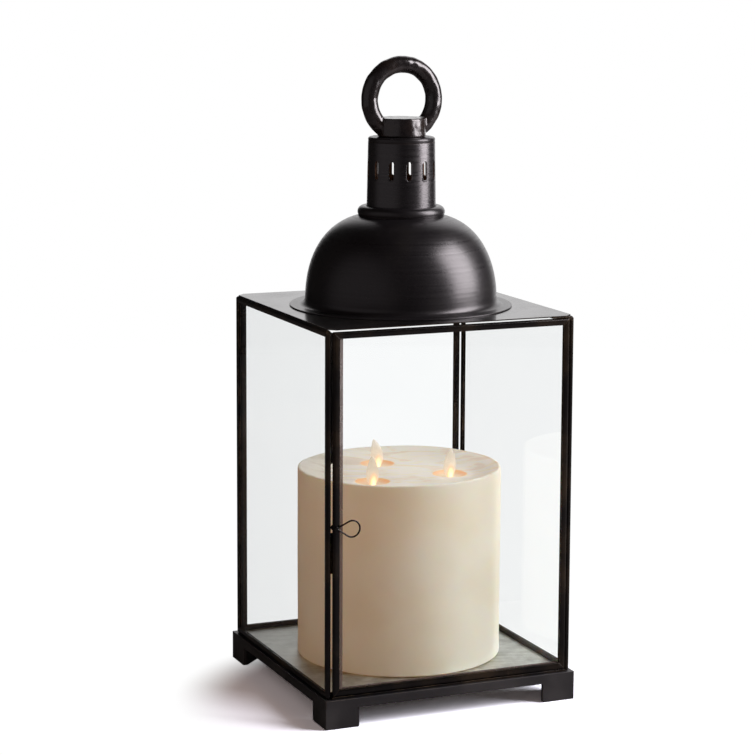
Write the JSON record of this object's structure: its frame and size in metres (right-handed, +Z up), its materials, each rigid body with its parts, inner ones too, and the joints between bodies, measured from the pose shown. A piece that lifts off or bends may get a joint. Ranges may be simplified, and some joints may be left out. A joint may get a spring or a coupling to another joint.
{
  "type": "hurricane candle lantern",
  "caption": "Square glass hurricane lantern with a hinged door, domed top with a slotted neck and hanging eye, and a pillar candle with moving flames.",
  "frame": {"origin": "on the ground, under the middle of the base", "axes": "+Z up, -Y towards the door side, +X towards the door's hinge side"},
  "size_m": [0.2, 0.2, 0.4778],
  "materials": {
    "base_metal": "satin black, worn at the edges",
    "came_metal": "dark bronze patina over soldered came",
    "plate_metal": "satin black sheet",
    "spun_metal": "satin black with fine spun lines",
    "cast_metal": "rough casting, black",
    "floor_zinc": "patinated zinc sheet",
    "latch_wire": "black wire",
    "glass": "clear sheet glass",
    "wax": "ivory wax, satin",
    "candle_plastic": "moulded, matt",
    "flame_plastic": "translucent, warm glow at the foot",
    "steel": "zinc plated",
    "board": "solder mask",
    "led": "clear warm lamp",
    "coil_wire": "enamelled copper",
    "cell_jacket": "plain sleeve",
    "pad_rubber": "matt",
    "switch_plastic": "moulded, matt"
  },
  "bodies": {
    "lantern": {"base_rail_front": "base_metal", "base_rail_back": "base_metal", "base_rail_left": "base_metal", "base_rail_right": "base_metal", "foot_front_left": "base_metal", "foot_front_right": "base_metal", "foot_back_left": "base_metal", "foot_back_right": "base_metal", "floor_pan": "floor_zinc", "door_sill": "came_metal", "hinge_bracket": "came_metal", "hinge_pins": "came_metal", "hinge_washer": "came_metal", "latch_keeper": "came_metal", "left_pane": "glass", "left_came_top": "came_metal", "left_came_bottom": "came_metal", "left_came_front": "came_metal", "left_came_back": "came_metal", "right_pane": "glass", "right_came_top": "came_metal", "right_came_bottom": "came_metal", "right_came_front": "came_metal", "right_came_back": "came_metal", "back_pane": "glass", "back_came_top": "came_metal", "back_came_bottom": "came_metal", "back_came_left": "came_metal", "back_came_right": "came_metal", "top_plate": "plate_metal", "dome": "spun_metal", "dome_bead": "spun_metal", "neck": "spun_metal", "neck_cap": "spun_metal", "hanging_eye": "cast_metal", "eye_stud": "steel", "eye_washer": "steel", "eye_nut": "steel"},
    "door": {"door_pane": "glass", "door_rail_top": "came_metal", "door_rail_bottom": "came_metal", "door_stile_latch": "came_metal", "door_stile_hinge": "came_metal"},
    "latch": {"latch_loop": "latch_wire", "latch_washer": "latch_wire"},
    "candle": {"candle_wax": "wax", "candle_base": "candle_plastic", "light_frame": "candle_plastic", "circuit_board": "board", "leds": "led", "drive_coils": "coil_wire", "pivot_wires": "steel", "batteries": "cell_jacket", "battery_cover": "candle_plastic", "battery_contacts": "steel", "candle_pads": "pad_rubber"},
    "flame_back": {"flame_back": "flame_plastic"},
    "flame_left": {"flame_left": "flame_plastic"},
    "flame_right": {"flame_right": "flame_plastic"},
    "switch": {"switch_slider": "switch_plastic"}
  },
  "joints": [
    {"name": "door_hinge", "type": "hinge", "parent": "lantern", "child": "door", "pos_m": [0.0917, -0.0961, 0.155], "axis": [0, 0, 1], "range_deg": [0, 150]},
    {"name": "latch_turn", "type": "hinge", "parent": "door", "child": "latch", "pos_m": [-0.0916, -0.095, 0.1475], "axis": [0, 1, 0], "range_deg": [-85, 85]},
    {"name": "candle_lift", "type": "slide", "parent": "lantern", "child": "candle", "axis": [0, 0, 1], "range_m": [0, 0.01]},
    {"name": "flame_back_sway", "type": "hinge", "parent": "candle", "child": "flame_back", "pos_m": [-0.00265, 0.03791, 0.153], "axis": [0, 1, 0], "range_deg": [-8, 8]},
    {"name": "flame_left_sway", "type": "hinge", "parent": "candle", "child": "flame_left", "pos_m": [-0.0315, -0.02125, 0.153], "axis": [0, 1, 0], "range_deg": [-8, 8]},
    {"name": "flame_right_sway", "type": "hinge", "parent": "candle", "child": "flame_right", "pos_m": [0.03415, -0.01666, 0.153], "axis": [0, 1, 0], "range_deg": [-8, 8]},
    {"name": "switch_slide", "type": "slide", "parent": "candle", "child": "switch", "axis": [1, 0, 0], "range_m": [0, 0.005]}
  ]
}
